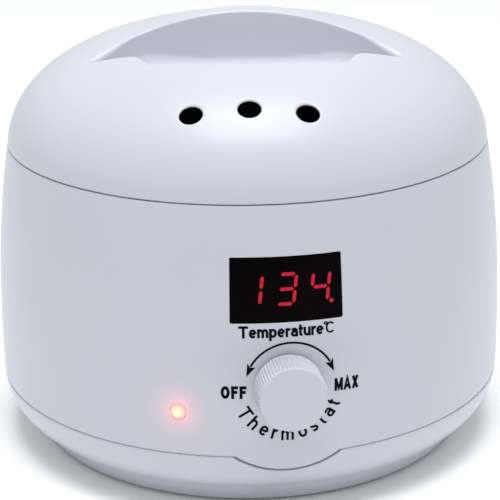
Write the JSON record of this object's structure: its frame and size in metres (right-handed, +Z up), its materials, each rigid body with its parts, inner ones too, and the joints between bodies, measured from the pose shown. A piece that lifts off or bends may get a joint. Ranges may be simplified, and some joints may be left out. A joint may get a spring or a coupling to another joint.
{
  "type": "wax warmer pot",
  "caption": "Round electric wax warmer: domed lift-off lid with grip bar and vents, lift-out pot with bail, display window, lamp and thermostat knob.",
  "frame": {"origin": "middle of the round base, on the surface that the rubber feet stand on", "axes": "+Z up, -Y out of the control panel, +X to the right of someone facing the panel"},
  "size_m": [0.165, 0.1788, 0.1385],
  "materials": {
    "white_plastic": "glossy",
    "base_plastic": "glossy",
    "dark_window": "glossy",
    "display_red": "glossy",
    "lamp_red": "glossy, lit",
    "feet_rubber": "matte",
    "board_green": "matte",
    "pot_aluminium": "satin",
    "plated_steel": "satin",
    "brass": "satin",
    "thermostat_block": "matte",
    "mica": "matte",
    "felt": "matte",
    "sensor_body": "matte",
    "transformer_tape": "matte",
    "capacitor_sleeve": "satin",
    "relay_case": "satin",
    "terminal_plastic": "matte",
    "mains_wire": "matte",
    "signal_wire": "matte"
  },
  "bodies": {
    "warmer": {"base_shell": "base_plastic", "upper_shell": "white_plastic", "rubber_feet": "feet_rubber", "base_screws": "plated_steel", "cord_gland": "feet_rubber", "display_window": "dark_window", "display_module": "display_red", "display_board": "board_green", "display_screws": "plated_steel", "indicator_lens": "lamp_red", "indicator_lamp": "lamp_red", "thermostat_body": "thermostat_block", "thermostat_bracket": "plated_steel", "thermostat_bush": "brass", "thermostat_washer": "plated_steel", "thermostat_nut": "plated_steel", "heating_well": "pot_aluminium", "well_screws": "plated_steel", "band_heater": "mica", "heater_clamp": "plated_steel", "clamp_screw": "plated_steel", "heater_terminals": "brass", "insulation_disc": "felt", "deflector_plate": "pot_aluminium", "stud_nuts": "plated_steel", "heat_shield": "pot_aluminium", "thermal_fuse": "sensor_body", "fuse_clip": "plated_steel", "temperature_probe": "sensor_body", "probe_clip": "plated_steel", "earth_tag": "brass", "control_board": "board_green", "transformer": "transformer_tape", "capacitor": "capacitor_sleeve", "relay": "relay_case", "board_screws": "plated_steel", "terminal_block": "terminal_plastic", "terminal_screws": "plated_steel", "power_wiring": "mains_wire", "signal_wiring": "signal_wire"},
    "pot": {"wax_pot": "pot_aluminium", "pot_ears": "plated_steel", "ear_rivets": "pot_aluminium"},
    "bail": {"pot_bail": "plated_steel"},
    "lid": {"lid_shell": "white_plastic"},
    "knob": {"knob": "white_plastic", "thermostat_spindle": "plated_steel"}
  },
  "joints": [
    {"name": "pot_lift", "type": "slide", "parent": "warmer", "child": "pot", "axis": [0, 0, 1], "range_m": [0, 0.08]},
    {"name": "lid_lift", "type": "slide", "parent": "pot", "child": "lid", "axis": [0, 0, 1], "range_m": [0, 0.1]},
    {"name": "bail_swing", "type": "hinge", "parent": "pot", "child": "bail", "pos_m": [0, 0, 0.0996], "axis": [1, 0, 0], "range_deg": [0, 90]},
    {"name": "knob_turn", "type": "hinge", "parent": "warmer", "child": "knob", "pos_m": [0, -0.0825, 0.0436], "axis": [0, -1, 0], "range_deg": [-70, 120]}
  ],
  "couplings": [
    {"joint": "bail_swing", "follows": "lid_lift", "rad_per_m": 15.7}
  ]
}
